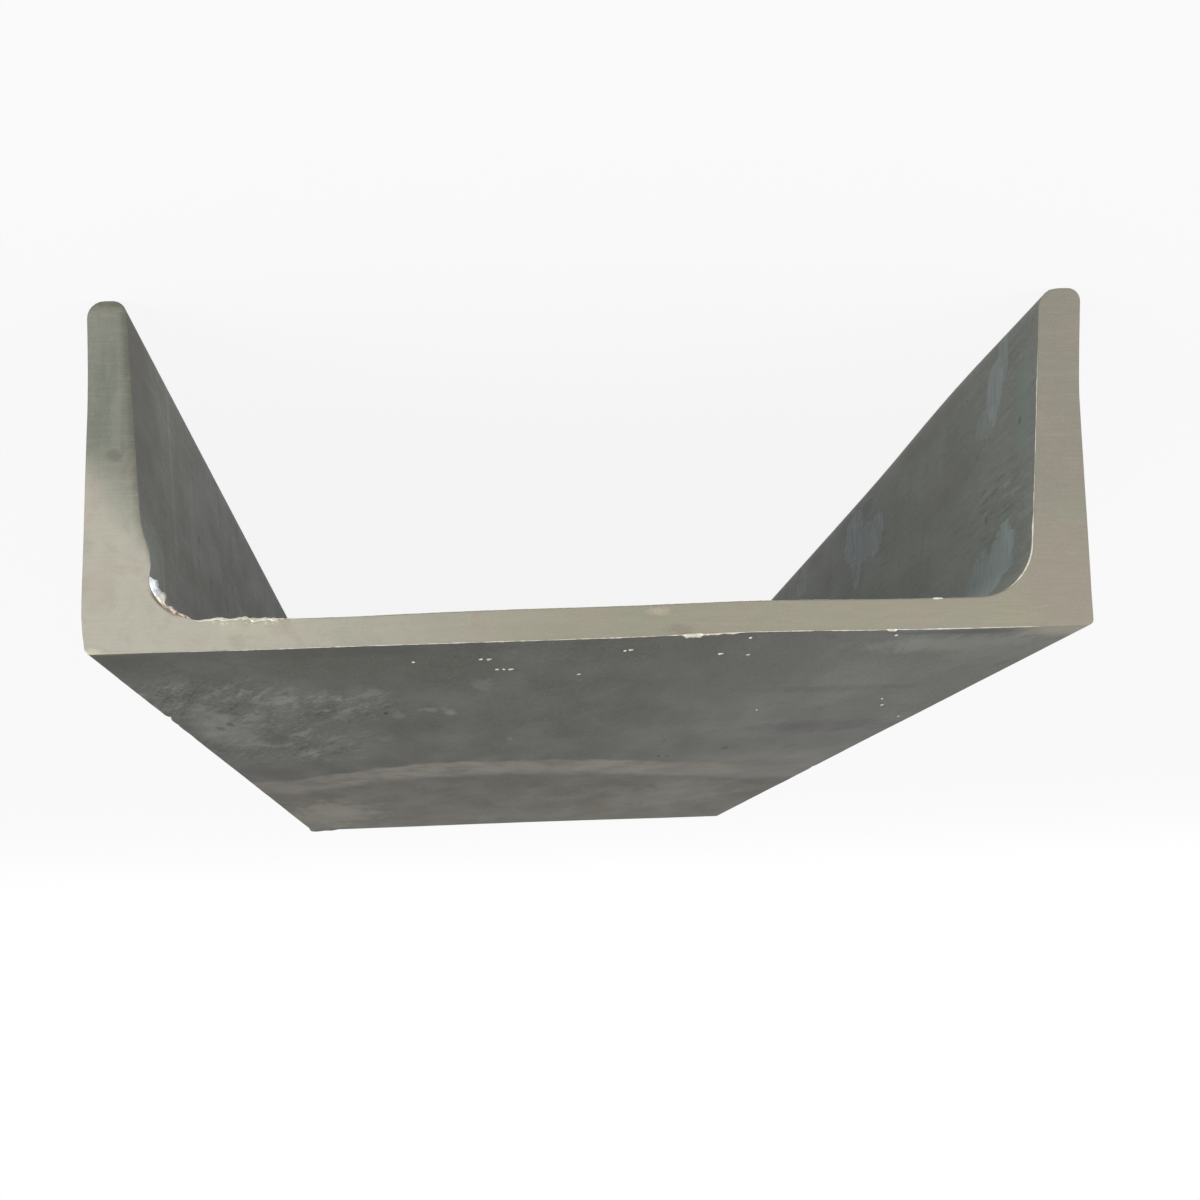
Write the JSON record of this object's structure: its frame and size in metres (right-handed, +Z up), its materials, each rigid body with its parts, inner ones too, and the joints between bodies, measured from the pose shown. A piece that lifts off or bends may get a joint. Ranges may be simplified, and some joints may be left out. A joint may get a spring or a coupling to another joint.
{
  "type": "taper flange channel",
  "caption": "Length of hot-rolled steel channel, sawn square at both ends: a flat web with two inward-tapering flanges and rounded roots and toes, lying toes down.",
  "frame": {"origin": "on the floor under the middle of the piece, which is the bottom centre of its box", "axes": "+X across the section's depth, +Y along the length, +Z up, from the toes towards the back of the web"},
  "size_m": [0.22, 0.7, 0.077],
  "materials": {
    "hot_rolled_steel": "dark grey satin mill scale with scuffs on the rolled faces, pale beige-grey saw marks on the two sawn ends"
  },
  "bodies": {
    "root": {"channel": "hot_rolled_steel"}
  },
  "joints": []
}
